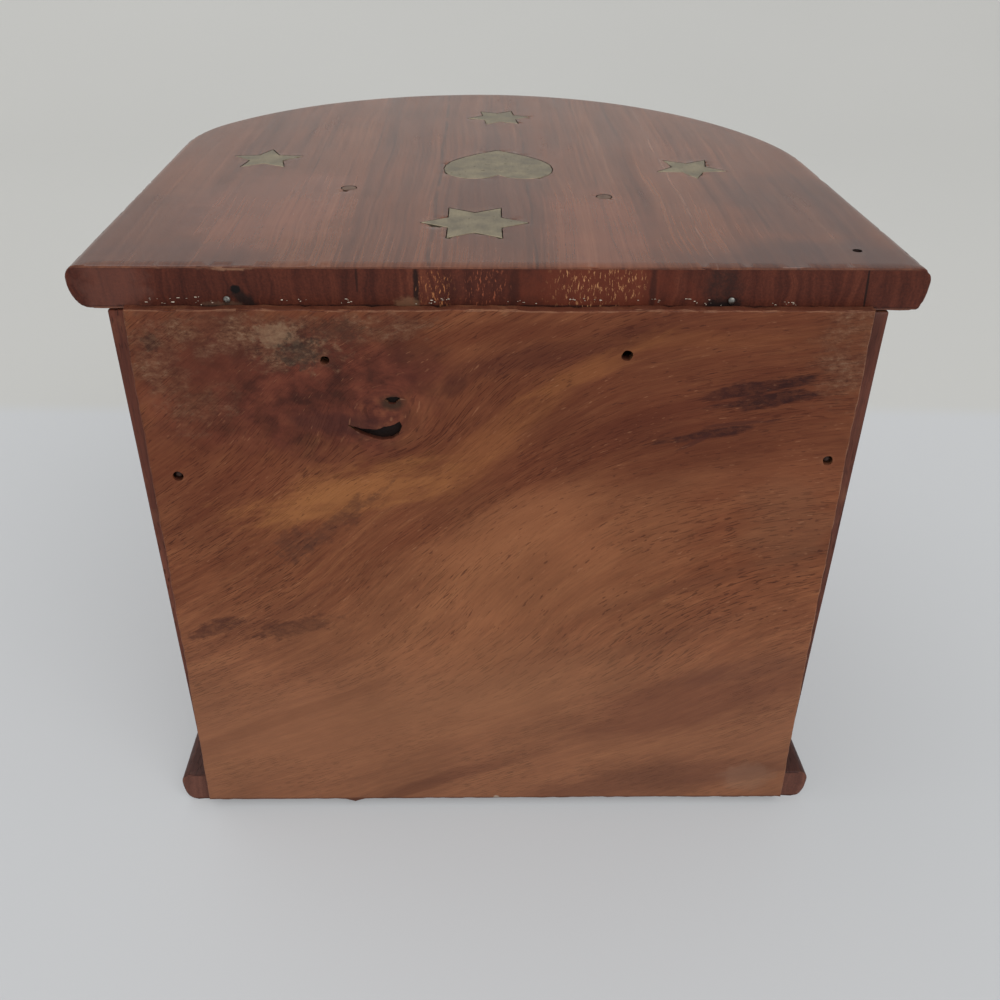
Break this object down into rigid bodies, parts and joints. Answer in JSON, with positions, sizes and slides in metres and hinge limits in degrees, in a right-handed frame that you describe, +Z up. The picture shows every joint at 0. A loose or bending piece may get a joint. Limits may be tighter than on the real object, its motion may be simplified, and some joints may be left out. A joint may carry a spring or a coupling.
{
  "type": "jewellery box",
  "caption": "Bow-fronted wooden jewellery box: overhanging top and base boards with rounded noses, brass inlays on top, nailed-on back panel, felt-lined curved drawers that slide out.",
  "frame": {"origin": "on the floor, at the middle of the base board's underside: the middle of the body's width and of the boards' depth", "axes": "+Z up, the drawers open towards -Y, +X to the right of someone who faces the drawers"},
  "size_m": [0.1926, 0.1907, 0.1718],
  "materials": {
    "board_wood": "satin polished dark red-brown rosewood, figure running front to back",
    "wall_wood": "satin polished rosewood",
    "panel_wood": "lightly oiled orange-brown rosewood with diagonal figure, a knot, scuffs and pores",
    "front_wood": "satin polished rosewood",
    "inner_wood": "bare planed wood",
    "inlay_brass": "tarnished, rubbed dull",
    "knob_brass": "turned, worn bright",
    "nail_iron": "dull grey iron with rust",
    "lining_felt": "thin red felt"
  },
  "bodies": {
    "carcass": {"base_board": "board_wood", "top_board": "board_wood", "side_wall_left": "wall_wood", "side_wall_right": "wall_wood", "shelf_lower": "inner_wood", "shelf_upper": "inner_wood", "back_panel": "panel_wood", "inlay_star_back": "inlay_brass", "inlay_heart": "inlay_brass", "inlay_star_left": "inlay_brass", "inlay_star_right": "inlay_brass", "inlay_star_front": "inlay_brass", "inlay_dot_left": "inlay_brass", "inlay_dot_right": "inlay_brass", "panel_nail_left": "nail_iron", "panel_nail_right": "nail_iron", "seam_nail_left": "nail_iron", "seam_nail_right": "nail_iron", "top_nail": "nail_iron", "base_nail_left_back": "nail_iron", "base_nail_left_front": "nail_iron", "base_nail_right_back": "nail_iron", "base_nail_right_front": "nail_iron"},
    "drawer_lower": {"drawer_lower_front": "front_wood", "drawer_lower_side_left": "inner_wood", "drawer_lower_side_right": "inner_wood", "drawer_lower_back": "inner_wood", "drawer_lower_floor": "inner_wood", "drawer_lower_lining": "lining_felt", "drawer_lower_knob": "knob_brass"},
    "drawer_middle": {"drawer_middle_front": "front_wood", "drawer_middle_side_left": "inner_wood", "drawer_middle_side_right": "inner_wood", "drawer_middle_back": "inner_wood", "drawer_middle_floor": "inner_wood", "drawer_middle_lining": "lining_felt", "drawer_middle_knob": "knob_brass"},
    "drawer_upper": {"drawer_upper_front": "front_wood", "drawer_upper_side_left": "inner_wood", "drawer_upper_side_right": "inner_wood", "drawer_upper_back": "inner_wood", "drawer_upper_floor": "inner_wood", "drawer_upper_lining": "lining_felt", "drawer_upper_knob": "knob_brass"}
  },
  "joints": [
    {"name": "drawer_lower_slide", "type": "slide", "parent": "carcass", "child": "drawer_lower", "axis": [0, -1, 0], "range_m": [0, 0.095]},
    {"name": "drawer_middle_slide", "type": "slide", "parent": "carcass", "child": "drawer_middle", "axis": [0, -1, 0], "range_m": [0, 0.095]},
    {"name": "drawer_upper_slide", "type": "slide", "parent": "carcass", "child": "drawer_upper", "axis": [0, -1, 0], "range_m": [0, 0.095]}
  ]
}
